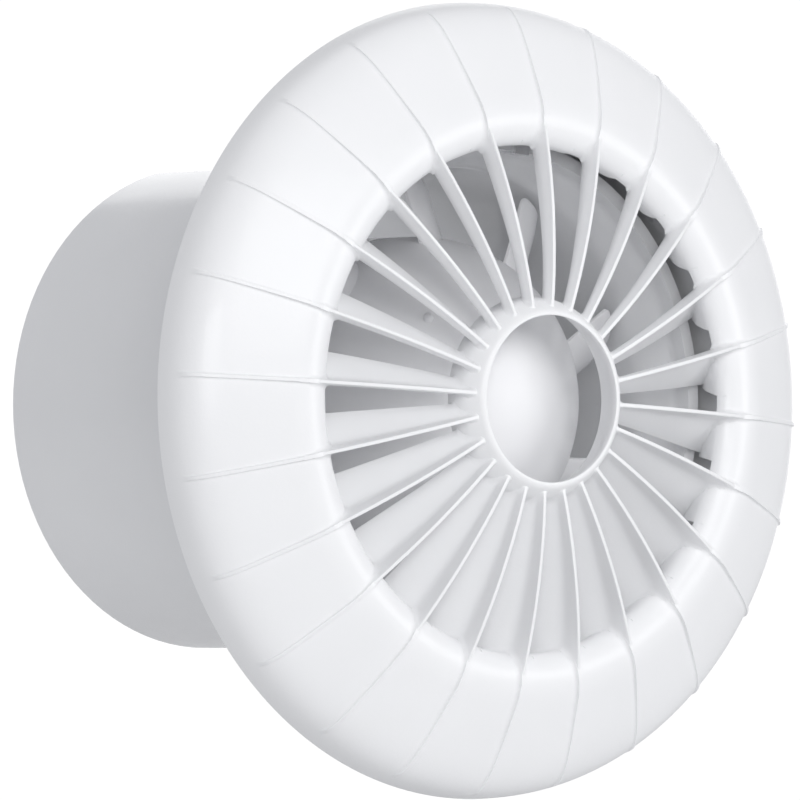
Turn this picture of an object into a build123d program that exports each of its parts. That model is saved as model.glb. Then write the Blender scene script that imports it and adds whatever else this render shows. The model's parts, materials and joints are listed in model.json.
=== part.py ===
from build123d import *
from math import atan2, cos, degrees, radians, sin
import os

# Axial bathroom extractor fan for a 100 mm duct, as separate pieces.
#
# Frame: millimetres, +Z up. The fan's axis is Y, and the front faces -Y. The origin is on the axis,
# in the plane of the wall behind the wall plate. The spigot runs along +Y into the duct.
# Angles called clock are degrees clockwise from the top, seen from the front.

# ---------------------------------------------------------------- driving dimensions

SPIGOT_R = 49.0  # 98 mm spigot for a 100 mm duct
SPIGOT_LENGTH = 85.5
BORE_R = 46.4
RECESS_DEPTH = 1.0  # shallow band along the spigot's top, for the supply cable
RECESS_HALF_ANGLE = 15.0
RECESS_FRONT_Y = 0.6

COVER_R = 79.0
COVER_REAR_Y = -1.4
COVER_WALL = 1.8
CREST_R = 55.0  # foremost circle of the dome
CREST_Y = -20.1
THROAT_R = 50.2
THROAT_REAR_Y = -17.0
TAB_ANGLE = 8.7  # clock angle covered by each short wall behind the throat
TAB_LINE = [(50.3, -17.0), (50.5, -14.9), (51.2, -12.3), (52.6, -9.9)]  # its side toward the axis
TAB_BACK = [(53.9, -9.9), (52.5, -12.6), (51.8, -15.2), (51.6, -17.6)]

PLATE_R = 77.2
PLATE_THICKNESS = 2.0
PLATE_EDGE = 1.2
PLATE_LIP_OUTER_R = 75.5
PLATE_LIP_INNER_R = 73.7
PLATE_LIP_Y = -3.2
COLLAR_R = 52.2
COLLAR_BORE_R = 49.7
COLLAR_FRONT_Y = -8.8
GUARD_R = 55.3  # wall that closes the space behind the throat, except beside the terminals
GUARD_FRONT_Y = -17.0
GUARD_START = 12.0
GUARD_END = 312.0

VANES = 24
VANE_CLOCK = 2.7
VANE_THICKNESS = 1.1
VANE_END_R = 54.0
RIDGE_HEIGHT = 0.75
RIDGE_WIDTH = 1.0
RIDGE_END_R = 78.3
RING_FRONT_Y = -26.3
RING_REAR_Y = -18.6
RING_LIP_R = 16.4

HUB_R = 33.0
HUB_NOSE = 31.3  # from the hub's widest circle to its nose
HUB_Y = 16.3
HUB_WALL = 1.8
HUB_REAR_Y = 20.5
BLADES = 9
BLADE_CLOCK = -10.2
BLADE_TIP_R = 45.4
BLADE_THICKNESS = 1.6

CUP_R = 33.0
CUP_WALL = 1.6
CUP_FRONT_Y = 22.0
CUP_REAR_Y = 48.5
CUP_BACK_WALL = 2.0
STRUTS = 4
STRUT_FRONT_Y = 29.0
STRUT_REAR_Y = 43.0
STRUT_THICKNESS = 2.4
LEAD_STRUT_THICKNESS = 6.6

TERMINAL_CLOCK = -34.0  # terminals, lead channel and first strut
CLAMP_CLOCK = -15.0
TERMINAL_COVER_SCREW_X = -12.5
GROMMET_R = 58.5  # distance of the cable entry from the axis
CLIP_CLOCK = 7.0
CLIPS = 3
WALL_HOLE_CLOCK = 30.0
WALL_HOLE_CIRCLE_R = 66.0
WALL_HOLE_R = 2.3
WALL_HOLES = 4

CORE_R = 28.0
CORE_FRONT_Y = 18.0
CORE_REAR_Y = 32.0
YOKE_R = 22.5
STATOR_BORE_R = 12.5
POLES = 4
COIL_LOW_R = 16.4
COIL_HIGH_R = 20.2
FORMER_WALL = 0.8
ROTOR_BARS = 17
ROTOR_R = 12.2
BOLT_CIRCLE_R = 25.25
BOLT_R = 1.5
SHAFT_R = 2.5
SHOULDER_R = 3.1
BEARING_R = 7.0
BEARING_WIDTH = 5.0
FRONT_BEARING_Y = 8.0
REAR_BEARING_Y = 37.0
BALL_R = 1.19
BALLS = 7

LEAD_R = 0.8
LEAD_OFFSET = 1.4
LEAD_CHANNEL_R = 47.3  # distance from the axis where the leads run along the bore
LEAD_STRUT_Y = 35.0
LEAD_SLOT = 5.2  # width of the slots that both leads lie in


# ---------------------------------------------------------------- helpers

def turned(shape, clock):
    """Turn a shape made at the top, radial along +Z, to a clock angle."""
    return Rot(0, clock, 0) * shape


def ring_of(shape, count, first_clock=0.0):
    """Copies of one shape, evenly spaced round the axis."""
    return [turned(shape, first_clock + i * 360.0 / count) for i in range(count)]


def revolved(points):
    """Solid of revolution about Y from (radius, y) corner points."""
    outline = Polyline(*[(r, y) for r, y in points], close=True)
    return revolve(make_face(outline), Axis.Y)


def sector_of(points, clock_0, clock_1):
    """Outline of (radius, y) corner points, turned about Y between two clock angles."""
    outline = make_face(Plane.YZ * Polyline(*[(y, r) for r, y in points], close=True))
    return turned(revolve(outline, Axis.Y, revolution_arc=clock_1 - clock_0), clock_0)


def sector(inner_r, outer_r, front_y, rear_y, clock_0, clock_1):
    """Part of a tube about Y, between two clock angles."""
    corners = [(inner_r, front_y), (inner_r, rear_y), (outer_r, rear_y), (outer_r, front_y)]
    return sector_of(corners, clock_0, clock_1)


def tube(outer_r, inner_r, front_y, rear_y):
    """Straight tube about Y."""
    return revolved([(inner_r, front_y), (inner_r, rear_y), (outer_r, rear_y), (outer_r, front_y)])


def rod(r, front_y, rear_y, x=0.0, z=0.0):
    """Cylinder parallel to Y."""
    length = rear_y - front_y
    return Pos(x, front_y + length / 2, z) * Rot(90, 0, 0) * Cylinder(r, length)


def block(width, front_y, rear_y, low_r, high_r, x=0.0):
    """Box at the top: width along X, its depth along Y, and low_r to high_r along Z."""
    centre = Pos(x, (front_y + rear_y) / 2, (low_r + high_r) / 2)
    return centre * Box(width, rear_y - front_y, high_r - low_r)


def pan_screw(shank_r, head_r, head_height, head_front_y, length, x=0.0, z=0.0):
    """Cross-head screw that is driven from the front, along +Y."""
    head = rod(head_r, head_front_y, head_front_y + head_height, x, z)
    shank = rod(shank_r, head_front_y + head_height, head_front_y + head_height + length, x, z)
    screw = head + shank
    slot_depth = head_height * 0.55
    for width, height in ((head_r * 1.2, 0.5), (0.5, head_r * 1.2)):
        slot = Pos(x, head_front_y + slot_depth / 2, z) * Box(width, slot_depth, height)
        screw = screw - slot
    return screw


def save(name, shape):
    """Write one node, as one solid or a group of separate solids."""
    solids = shape.solids() if hasattr(shape, "solids") else [s for item in shape for s in item.solids()]
    body = solids[0] if len(solids) == 1 else Compound(children=list(solids))
    body.label = name
    export_step(body, f"parts/{name}.step")


# ---------------------------------------------------------------- front cover

def dome_curve():
    """Smooth outer line of the cover, from its rear edge over the crest into the throat."""
    return Spline(
        (COVER_R, COVER_REAR_Y),
        (77.9, -7.4),
        (70.6, -13.7),
        (61.7, -18.1),
        (CREST_R, CREST_Y),
        (51.4, -18.9),
        (THROAT_R, THROAT_REAR_Y),
        tangents=[(-0.05, -1), (-0.1, 1)],
    )


def offset_points(curve, distance, first, last, count):
    """Points beside a curve, at a distance along its normal."""
    points = []
    for i in range(count):
        t = first + (last - first) * i / (count - 1)
        place = curve @ t
        along = curve % t
        points.append((place.X - along.Y * distance, place.Y + along.X * distance))
    return points


def make_front_cover():
    outer = dome_curve()
    inner = Spline(*offset_points(outer, -COVER_WALL, 0.0, 1.0, 13))
    rear_edge = Line(inner @ 0, outer @ 0)
    throat_edge = Line(outer @ 1, inner @ 1)
    shell = revolve(make_face(Wire([outer, throat_edge, inner, rear_edge])), Axis.Y)

    crest = Spline(*offset_points(outer, RIDGE_HEIGHT, 0.03, 0.80, 11))
    root = Spline(*offset_points(outer, -COVER_WALL / 2, 0.03, 0.80, 11))
    ridge_face = make_face(Wire([
        crest, Line(crest @ 1, root @ 1), root, Line(root @ 0, crest @ 0)]))
    blade = extrude(ridge_face, RIDGE_WIDTH / 2, both=True)
    ridge = Rot(0, -90, 0) * blade
    ridge = ridge & block(4, -40, 0, VANE_END_R, RIDGE_END_R)

    tab = sector_of([(50.9, -17.6), *TAB_LINE, *TAB_BACK], -0.6, TAB_ANGLE)
    hook = block(5.0, -18.6, -4.5, 53.1, 54.6)

    cover = shell + ring_of(ridge, VANES, VANE_CLOCK) + ring_of(tab, VANES, VANE_CLOCK)
    return cover + ring_of(hook, CLIPS, CLIP_CLOCK)


# ---------------------------------------------------------------- louvre grille

VANE_STATIONS = [  # radius, front edge y, depth and sweep of the vane's section
    (17.2, -25.2, 5.6, 2.3),
    (28.0, -25.3, 7.6, 3.7),
    (38.0, -24.2, 9.4, 5.0),
    (46.0, -23.0, 11.1, 6.0),
    (VANE_END_R, -20.9, 11.8, 6.9),
]


def vane_section(depth, sweep):
    """Curved strip that leaves the front edge along the axis and bends clockwise."""
    bend_r = (depth ** 2 + sweep ** 2) / (2 * sweep)
    turn = degrees(atan2(depth, bend_r - sweep))
    outer = CenterArc((bend_r, 0), bend_r + VANE_THICKNESS / 2, 180, -turn)
    inner = CenterArc((bend_r, 0), bend_r - VANE_THICKNESS / 2, 180, -turn)
    return make_face(Wire([
        outer, Line(outer @ 1, inner @ 1), inner, Line(inner @ 0, outer @ 0)]))


def make_inlet_grille():
    sections = []
    for r, front_y, depth, sweep in VANE_STATIONS:
        level = Plane(origin=(0, front_y, r), x_dir=(1, 0, 0), z_dir=(0, 0, 1))
        sections.append(level * vane_section(depth, sweep))
    vane = loft(sections)

    lip = (RING_LIP_R + 0.3, RING_FRONT_Y)
    outer = Spline(lip, (18.4, -25.0), (19.75, -22.8), (20.2, RING_REAR_Y),
                   tangents=[(1, 0), (0, 1)])
    inner = Spline(lip, (17.3, -23.4), (18.9, RING_REAR_Y), tangents=[(-0.2, 1), (0.3, 1)])
    ring = revolve(make_face(Wire([outer, Line(outer @ 1, inner @ 1), inner])), Axis.Y)
    hole_edge = [lip, (0, RING_FRONT_Y), (0, RING_REAR_Y)]
    hole = revolve(make_face(Wire([
        inner, Line(inner @ 1, hole_edge[2]), Line(hole_edge[2], hole_edge[1]),
        Line(hole_edge[1], lip)])), Axis.Y)
    hole = hole + rod(18.9, RING_REAR_Y, 0)

    dome = dome_curve()
    edge = Polyline(
        dome @ 1, *TAB_LINE, (TAB_LINE[-1][0], 20), (100, 20), (100, COVER_REAR_Y), dome @ 0)
    beyond = revolve(make_face(Wire([dome, *edge.edges()])), Axis.Y)
    vane = vane - hole - beyond
    return ring + ring_of(vane, VANES, VANE_CLOCK)


# ---------------------------------------------------------------- housing

def lead_paths():
    """Centre lines of the two leads, made at the top: terminals, channel, strut, coil."""
    paths = []
    for side in (-1, 1):
        x_end = side * 3.5
        x = side * LEAD_OFFSET
        paths.append(FilletPolyline(
            (x_end, -5.8, 61.0),
            (x_end, -5.8, 57.0),
            (x, -4.8, 52.4),
            (x, -4.8, LEAD_CHANNEL_R),
            (x, LEAD_STRUT_Y, LEAD_CHANNEL_R),
            (x, LEAD_STRUT_Y, 21.0),
            radius=3.0,
        ))
    return paths


def along(path, r):
    """Round section swept along a path that starts at the terminals."""
    start = Plane(origin=path @ 0, z_dir=path % 0)
    return sweep(start * Circle(r), path=path)


def make_duct_housing():
    mouth = Spline((COLLAR_BORE_R, -5.5), (48.8, -2.8), (47.4, 0.6), (BORE_R, 5.0),
                   tangents=[(0, 1), (0, 1)])
    edge = Polyline(
        mouth @ 1, (BORE_R, SPIGOT_LENGTH), (SPIGOT_R - 0.5, SPIGOT_LENGTH),
        (SPIGOT_R, SPIGOT_LENGTH - 0.5), (SPIGOT_R, 0), (PLATE_R, 0), (PLATE_R, -PLATE_EDGE),
        (PLATE_LIP_OUTER_R, -PLATE_EDGE), (PLATE_LIP_OUTER_R, PLATE_LIP_Y),
        (PLATE_LIP_INNER_R, PLATE_LIP_Y), (PLATE_LIP_INNER_R, -PLATE_THICKNESS),
        (COLLAR_R, -PLATE_THICKNESS), (COLLAR_R, COLLAR_FRONT_Y), (COLLAR_BORE_R, COLLAR_FRONT_Y),
        mouth @ 0)
    shell = revolve(make_face(Wire([mouth, *edge.edges()])), Axis.Y)
    shell = shell + sector(GUARD_R, GUARD_R + 1.5, GUARD_FRONT_Y, -1.0, GUARD_START, GUARD_END)
    recess = sector(SPIGOT_R - RECESS_DEPTH, SPIGOT_R + 5, RECESS_FRONT_Y, SPIGOT_LENGTH + 1,
                    -RECESS_HALF_ANGLE, RECESS_HALF_ANGLE)
    wall_hole = rod(WALL_HOLE_R, -10, 5, z=WALL_HOLE_CIRCLE_R)
    shell = shell - recess - rod(3.5, -10, 5, z=GROMMET_R)
    shell = shell - ring_of(wall_hole, WALL_HOLES, WALL_HOLE_CLOCK)

    for z in (57.0, 67.0):
        boss = rod(2.6, -6.5, -PLATE_THICKNESS, z=z) - rod(1.3, -6.5, -PLATE_THICKNESS, z=z)
        shell = shell + turned(boss, CLAMP_CLOCK)
    screw_place = (TERMINAL_COVER_SCREW_X, 62.0)
    boss = rod(3.0, -8.0, -PLATE_THICKNESS, *screw_place) - rod(1.4, -8.0, -PLATE_THICKNESS, *screw_place)
    shell = shell + turned(boss, TERMINAL_CLOCK)

    groove = block(LEAD_SLOT, -2.5, LEAD_STRUT_Y + 1.5, BORE_R - 1, LEAD_CHANNEL_R + 1)
    collar_gap = block(LEAD_SLOT, -6.0, -2.4, COLLAR_BORE_R - 1.6, COLLAR_R + 1)
    return shell - turned(groove, TERMINAL_CLOCK) - turned(collar_gap, TERMINAL_CLOCK)


def make_motor_carrier():
    inner_r = CUP_R - CUP_WALL
    cup = revolved([
        (0, CUP_REAR_Y), (CUP_R - 4, CUP_REAR_Y), (CUP_R, CUP_REAR_Y - 4), (CUP_R, CUP_FRONT_Y),
        (inner_r, CUP_FRONT_Y), (inner_r, CUP_REAR_Y - 4.6),
        (inner_r - 2.6, CUP_REAR_Y - CUP_BACK_WALL), (0, CUP_REAR_Y - CUP_BACK_WALL),
    ])
    boss = rod(3.2, 38.5, CUP_REAR_Y - 1, z=BOLT_CIRCLE_R)
    vent = block(3.0, 40, 50, 13.5, 20.5)
    carrier = cup + ring_of(boss, POLES, TERMINAL_CLOCK + 45) - ring_of(vent, 8, TERMINAL_CLOCK)
    bore = tube(BORE_R, CUP_R - 0.5, STRUT_FRONT_Y - 1, STRUT_REAR_Y + 1)
    for i in range(STRUTS):
        thickness = LEAD_STRUT_THICKNESS if i == 0 else STRUT_THICKNESS
        strut = block(thickness, STRUT_FRONT_Y, STRUT_REAR_Y, CUP_R - 0.5, BORE_R + 1) & bore
        carrier = carrier + turned(strut, TERMINAL_CLOCK + i * 360 / STRUTS)
    bolt_hole = rod(BOLT_R + 0.2, 38, 50, z=BOLT_CIRCLE_R)
    carrier = carrier - ring_of(bolt_hole, POLES, TERMINAL_CLOCK + 45)
    slot = block(LEAD_SLOT, LEAD_STRUT_Y - 1.2, LEAD_STRUT_Y + 1.2, CUP_R - 4, BORE_R + 1)
    corner = block(LEAD_SLOT, LEAD_STRUT_Y - 4.0, LEAD_STRUT_Y + 1.2, BORE_R - 3, BORE_R + 1)
    return carrier - turned(slot, TERMINAL_CLOCK) - turned(corner, TERMINAL_CLOCK)


def make_cover_clips():
    """Leaf springs folded over the collar's front rim."""
    inner_leg = sector(COLLAR_BORE_R - 0.5, COLLAR_BORE_R, COLLAR_FRONT_Y, -5.6, -2, 2)
    outer_leg = sector(COLLAR_R, COLLAR_R + 0.5, COLLAR_FRONT_Y, -4.0, -2, 2)
    bridge = sector(COLLAR_BORE_R - 0.5, COLLAR_R + 0.5, COLLAR_FRONT_Y - 0.5, COLLAR_FRONT_Y, -2, 2)
    return ring_of(inner_leg + outer_leg + bridge, CLIPS, CLIP_CLOCK)


# ---------------------------------------------------------------- cable entry and terminals

def make_cable_grommet():
    hole_r = 3.5
    profile = [(2.6, -3.2), (5.0, -3.2), (5.0, -PLATE_THICKNESS), (hole_r, -PLATE_THICKNESS),
               (hole_r, 0), (2.6, 0)]
    return Pos(0, 0, GROMMET_R) * revolved(profile)


def make_cable_clamp():
    bar = block(6.0, -8.5, -6.5, 54.2, 69.8) + block(5.0, -6.5, -5.6, 60.0, 64.0)
    for z in (57.0, 67.0):
        bar = bar - rod(1.5, -9, -6, z=z)
    return turned(bar, CLAMP_CLOCK)


def make_cable_clamp_screws():
    return [turned(pan_screw(1.3, 2.5, 1.5, -10.0, 6.3, z=z), CLAMP_CLOCK) for z in (57.0, 67.0)]


def make_terminal_block():
    body = block(15.0, -9.5, -PLATE_THICKNESS, 57.5, 68.5)
    for x in (-3.5, 3.5):
        body = body - block(4.6, -8.0, -3.4, 58.5, 67.5, x)
        body = body - rod(1.9, -10, -8.0, x, 63.0)
        body = body - Pos(x, -5.8, 63) * Cylinder(1.2, 12)
    return turned(body, TERMINAL_CLOCK)


def make_terminal_clamps():
    clamps = []
    for x in (-3.5, 3.5):
        clamp = block(4.6, -8.0, -3.4, 58.5, 67.5, x)
        clamp = clamp - Pos(x, -5.8, 63) * Cylinder(1.2, 12) - rod(1.25, -9, -5.8, x, 63.0)
        clamps.append(turned(clamp, TERMINAL_CLOCK))
    return clamps


def make_terminal_screws():
    screws = []
    for x in (-3.5, 3.5):
        screw = pan_screw(1.25, 1.7, 1.0, -9.4, 1.8, x, 63.0)
        screws.append(turned(screw, TERMINAL_CLOCK))
    return screws


def make_terminal_cover():
    outer = block(17.6, -10.8, -3.0, 56.2, 69.8)
    inner = block(15.2, -9.6, -2.0, 57.4, 68.6)
    lead_gap = block(9.4, -7.2, -2.0, 55.0, 58.0)
    cable_gap = block(9.4, -7.2, -2.0, 68.0, 71.0)
    ear = block(8.0, -9.3, -8.0, 58.6, 65.4, TERMINAL_COVER_SCREW_X + 0.1)
    cover = outer - inner - lead_gap - cable_gap + ear
    return turned(cover - rod(1.6, -10, -7, TERMINAL_COVER_SCREW_X, 62.0), TERMINAL_CLOCK)


def make_terminal_cover_screw():
    screw = pan_screw(1.4, 2.5, 1.5, -10.8, 6.0, TERMINAL_COVER_SCREW_X, 62.0)
    return turned(screw, TERMINAL_CLOCK)


# ---------------------------------------------------------------- motor, fixed pieces

def make_stator_core():
    """Laminated ring with four poles; the shoes have slots for the shading rings."""
    yoke = tube(CORE_R, YOKE_R, CORE_FRONT_Y, CORE_REAR_Y)
    shoe = sector(STATOR_BORE_R, 15.5, CORE_FRONT_Y, CORE_REAR_Y, -36, 36)
    neck = block(8.0, CORE_FRONT_Y, CORE_REAR_Y, 14.5, YOKE_R + 1)
    slot = sector(13.1, 16.5, CORE_FRONT_Y - 1, CORE_REAR_Y + 1, 16, 20)
    core = yoke + ring_of(shoe - slot, POLES, TERMINAL_CLOCK) + ring_of(neck, POLES, TERMINAL_CLOCK)
    hole = rod(BOLT_R + 0.2, CORE_FRONT_Y - 1, CORE_REAR_Y + 1, z=BOLT_CIRCLE_R)
    return core - ring_of(hole, POLES, TERMINAL_CLOCK + 45)


def make_shading_rings():
    loop = sector(13.1, 15.3, CORE_FRONT_Y - 1.1, CORE_REAR_Y + 1.1, 16, 40)
    loop = loop - sector(12, 16, CORE_FRONT_Y, CORE_REAR_Y, 20, 37)
    return ring_of(loop, POLES, TERMINAL_CLOCK)


def make_coil_formers():
    """Plastic frames on the pole necks, with a flange at each end of the coil."""
    middle = block(8.0 + 2 * FORMER_WALL, CORE_FRONT_Y - FORMER_WALL, CORE_REAR_Y + FORMER_WALL,
                   COIL_LOW_R, COIL_HIGH_R)
    low = block(15.0, 13.0, 37.0, COIL_LOW_R - FORMER_WALL, COIL_LOW_R)
    high = block(15.0, 13.0, 37.0, COIL_HIGH_R, COIL_HIGH_R + FORMER_WALL)
    neck = block(8.0, CORE_FRONT_Y, CORE_REAR_Y, 10, 30)
    return ring_of(middle + low + high - neck, POLES, TERMINAL_CLOCK)


def make_stator_coils():
    outside = block(14.6, 13.4, 36.6, COIL_LOW_R, COIL_HIGH_R)
    outside = fillet(outside.edges().filter_by(Axis.Z), 2.5)
    inside = block(8.0 + 2 * FORMER_WALL, CORE_FRONT_Y - FORMER_WALL, CORE_REAR_Y + FORMER_WALL, 10, 30)
    return ring_of(outside - inside, POLES, TERMINAL_CLOCK)


def end_shield(seat_front, seat_rear, lip_front, lip_rear, arm_front, arm_rear, post_front, post_rear,
               bolt_r):
    """Bearing seat on four arms, with posts that stand on the stator core."""
    shield = tube(9.4, BEARING_R, seat_front, seat_rear) + tube(9.4, 5.2, lip_front, lip_rear)
    arm = block(6.0, arm_front, arm_rear, 8.4, BOLT_CIRCLE_R)
    end = rod(3.0, arm_front, arm_rear, z=BOLT_CIRCLE_R)
    post = rod(2.4, post_front, post_rear, z=BOLT_CIRCLE_R)
    shield = shield + ring_of(arm + end + post, POLES, TERMINAL_CLOCK + 45)
    hole = rod(bolt_r, arm_front - 1, post_rear + 10, z=BOLT_CIRCLE_R)
    if arm_front > post_front:
        hole = rod(bolt_r, post_front - 1, arm_rear + 1, z=BOLT_CIRCLE_R)
    return shield - ring_of(hole, POLES, TERMINAL_CLOCK + 45)


def make_front_end_shield():
    return end_shield(6.5, 13.0, 6.5, FRONT_BEARING_Y, 9.5, 12.0, 12.0, CORE_FRONT_Y, BOLT_R)


def make_rear_end_shield():
    return end_shield(37.0, 44.3, 42.8, 44.3, 37.4, 38.5, CORE_REAR_Y, 37.4, BOLT_R + 0.2)


def make_motor_bolts():
    head = rod(2.8, CUP_REAR_Y, CUP_REAR_Y + 2.0, z=BOLT_CIRCLE_R)
    slot = Pos(0, CUP_REAR_Y + 1.5, BOLT_CIRCLE_R) * Box(4.2, 1.0, 0.7)
    shank = rod(BOLT_R, 10.0, CUP_REAR_Y, z=BOLT_CIRCLE_R)
    return ring_of(head - slot + shank, POLES, TERMINAL_CLOCK + 45)


def bearing_profile_parts(front_y):
    """Outer ring, inner ring, cage and balls of one deep-groove ball bearing."""
    middle_y = front_y + BEARING_WIDTH / 2
    pitch_r = (BEARING_R + SHAFT_R) / 2
    groove = Pos(0, middle_y, 0) * Rot(90, 0, 0) * Torus(pitch_r, BALL_R + 0.05)
    outer = tube(BEARING_R, 5.6, front_y, front_y + BEARING_WIDTH) - groove
    inner = tube(3.9, SHAFT_R, front_y, front_y + BEARING_WIDTH) - groove
    ball = Pos(0, middle_y, pitch_r) * Sphere(BALL_R)
    pocket = Pos(0, middle_y, pitch_r) * Sphere(BALL_R + 0.08)
    cage = tube(5.1, 4.4, middle_y - 1.7, middle_y + 1.7) - ring_of(pocket, BALLS)
    return outer, inner, cage, ring_of(ball, BALLS)


def make_preload_washer():
    """Wavy spring washer behind the rear bearing, drawn flat as it sits when squeezed."""
    return tube(6.8, 5.4, REAR_BEARING_Y + BEARING_WIDTH, 42.8)


def make_thermal_fuse():
    """Cutout held against the outside of one coil."""
    return turned(rod(1.4, 14.5, 17.5, 9.0, 19.0), TERMINAL_CLOCK + 90)


def make_lead(index):
    path = lead_paths()[index]
    return turned(along(path, LEAD_R), TERMINAL_CLOCK)


# ---------------------------------------------------------------- rotor and impeller

def make_motor_shaft():
    return revolved([(0, -9), (SHAFT_R, -9), (SHAFT_R, 13), (SHOULDER_R, 13), (SHOULDER_R, 37),
                     (SHAFT_R, 37), (SHAFT_R, 43.5), (0, 43.5)])


def rotor_bar():
    return rod(0.9, 17.5, 32.5, z=10.6)


def make_rotor_core():
    return tube(ROTOR_R, SHOULDER_R, 17.5, 32.5) - ring_of(rotor_bar(), ROTOR_BARS)


def make_rotor_cage():
    rings = tube(11.7, 6.5, 15.0, 17.5) + tube(11.7, 6.5, 32.5, 35.0)
    return rings + ring_of(rotor_bar(), ROTOR_BARS)


BLADE_STATIONS = [  # radius, leading edge y, clock of the leading edge, chord, stagger from the axis
    (31.0, 8.2, 0.0, 11.6, 60.0),
    (38.5, 7.0, -3.4, 11.4, 58.0),
    (46.5, 5.6, -6.0, 11.2, 56.0),
]


def blade_section(chord, stagger):
    """Thin cambered section; its leading edge is at the origin and its tail is back and clockwise."""
    across = (sin(radians(stagger)), cos(radians(stagger)))
    normal = (across[1], -across[0])
    half = BLADE_THICKNESS / 2
    camber = 0.10 * chord
    front = []
    back = []
    for share, thick in ((0.0, 0.35), (0.5, 1.0), (1.0, 0.35)):
        lift = camber * 4 * share * (1 - share)
        for side, row in ((1, front), (-1, back)):
            reach = lift + side * half * thick
            row.append((across[0] * chord * share + normal[0] * reach,
                        across[1] * chord * share + normal[1] * reach))
    upper = ThreePointArc(*front)
    lower = ThreePointArc(*back)
    return make_face(Wire([upper, Line(upper @ 1, lower @ 1), lower, Line(lower @ 0, upper @ 0)]))


def make_impeller():
    def dome(r, nose, rear_y):
        """Half ellipsoid with a short straight skirt behind it."""
        angles = [radians(15 * i) for i in range(7)]
        front = Spline(
            *[(r * sin(a), HUB_Y - nose * cos(a)) for a in angles], tangents=[(1, 0), (0, 1)])
        skirt = Polyline(front @ 1, (r, rear_y), (0, rear_y), front @ 0)
        return revolve(make_face(Wire([front, *skirt.edges()])), Axis.Y)

    outside = dome(HUB_R, HUB_NOSE, HUB_REAR_Y)
    inside = dome(HUB_R - HUB_WALL, HUB_NOSE - HUB_WALL, HUB_REAR_Y + 1)
    shell = outside - inside
    boss = rod(5.0, -12, 4.5)
    web = block(1.4, -12, 2.5, 4.0, HUB_R)
    core = (boss + ring_of(web, 6)) & dome(HUB_R - HUB_WALL / 2, HUB_NOSE - HUB_WALL / 2, HUB_REAR_Y)
    hub = shell + core - rod(SHAFT_R, -9, 10)

    sections = []
    for r, y, clock, chord, stagger in BLADE_STATIONS:
        level = Plane(origin=(0, y, r), x_dir=(1, 0, 0), z_dir=(0, 0, 1))
        shift = r * radians(clock)
        sections.append(level * (Pos(shift, 0) * blade_section(chord, stagger)))
    blade = loft(sections) & tube(BLADE_TIP_R, 10, -20, 60)
    blade = blade - inside
    pip = Pos(0, -8.2, 20.5) * Sphere(1.2)
    return hub + ring_of(blade, BLADES, BLADE_CLOCK) + turned(pip - inside, -44)


# ---------------------------------------------------------------- write every node

def main():
    os.makedirs("parts", exist_ok=True)
    save("front_cover", make_front_cover())
    save("inlet_grille", make_inlet_grille())
    save("duct_housing", make_duct_housing())
    save("motor_carrier", make_motor_carrier())
    save("cover_clips", make_cover_clips())
    save("cable_grommet", make_cable_grommet())
    save("cable_clamp", make_cable_clamp())
    save("cable_clamp_screws", make_cable_clamp_screws())
    save("terminal_block", make_terminal_block())
    save("terminal_clamps", make_terminal_clamps())
    save("terminal_screws", make_terminal_screws())
    save("terminal_cover", make_terminal_cover())
    save("terminal_cover_screw", make_terminal_cover_screw())
    save("lead_live", make_lead(0))
    save("lead_neutral", make_lead(1))
    save("stator_core", make_stator_core())
    save("shading_rings", make_shading_rings())
    save("coil_formers", make_coil_formers())
    save("stator_coils", make_stator_coils())
    save("front_end_shield", make_front_end_shield())
    save("rear_end_shield", make_rear_end_shield())
    save("motor_bolts", make_motor_bolts())
    save("preload_washer", make_preload_washer())
    save("thermal_fuse", make_thermal_fuse())

    front = bearing_profile_parts(FRONT_BEARING_Y)
    rear = bearing_profile_parts(REAR_BEARING_Y)
    save("front_bearing_outer", front[0])
    save("rear_bearing_outer", rear[0])
    save("front_bearing_inner", front[1])
    save("rear_bearing_inner", rear[1])
    save("bearing_cages", [front[2], rear[2]])
    save("bearing_balls", front[3] + rear[3])

    save("motor_shaft", make_motor_shaft())
    save("rotor_core", make_rotor_core())
    save("rotor_cage", make_rotor_cage())
    save("impeller", make_impeller())


main()
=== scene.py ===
import json
from math import atan2, cos, hypot, pi, radians, sin, sqrt

import bmesh
import bpy
import numpy as np
from mathutils import Matrix, Vector


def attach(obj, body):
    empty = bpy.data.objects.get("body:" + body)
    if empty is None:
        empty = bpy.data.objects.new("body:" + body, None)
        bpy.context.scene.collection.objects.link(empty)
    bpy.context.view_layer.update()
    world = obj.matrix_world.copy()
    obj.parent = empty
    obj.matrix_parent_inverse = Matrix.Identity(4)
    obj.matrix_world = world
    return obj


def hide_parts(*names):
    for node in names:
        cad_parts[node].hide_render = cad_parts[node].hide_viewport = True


# Bathroom extractor fan. Its shapes are given in millimetres, turned into metres when a mesh is made.
# Materials, camera, lights and floor are given in metres. The fan's axis is Y and its front faces -Y.
# "clock" is degrees clockwise from the top, seen from the front. r is a distance from the axis.

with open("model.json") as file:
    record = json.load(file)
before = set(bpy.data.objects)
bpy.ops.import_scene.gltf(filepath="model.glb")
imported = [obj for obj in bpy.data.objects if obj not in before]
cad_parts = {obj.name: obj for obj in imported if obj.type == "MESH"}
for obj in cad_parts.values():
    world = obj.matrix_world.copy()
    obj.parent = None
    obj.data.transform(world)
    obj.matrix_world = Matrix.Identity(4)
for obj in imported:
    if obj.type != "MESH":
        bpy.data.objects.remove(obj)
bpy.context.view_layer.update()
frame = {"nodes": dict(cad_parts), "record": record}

# Front cover: dome, throat, the short wall between the throat and each vane, vanes, centre ring and hooks.
COVER_R, COVER_REAR_Y, COVER_WALL = 79.0, -1.4, 1.8
THROAT_R, THROAT_REAR_Y = 50.2, -17.0
TAB_ANGLE = 8.7  # clock where a short wall ends, counted from its vane
VANES, VANE_CLOCK = 24, 2.7
VANE_DEPTH = 11.0  # from front to rear, near the throat
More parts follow.
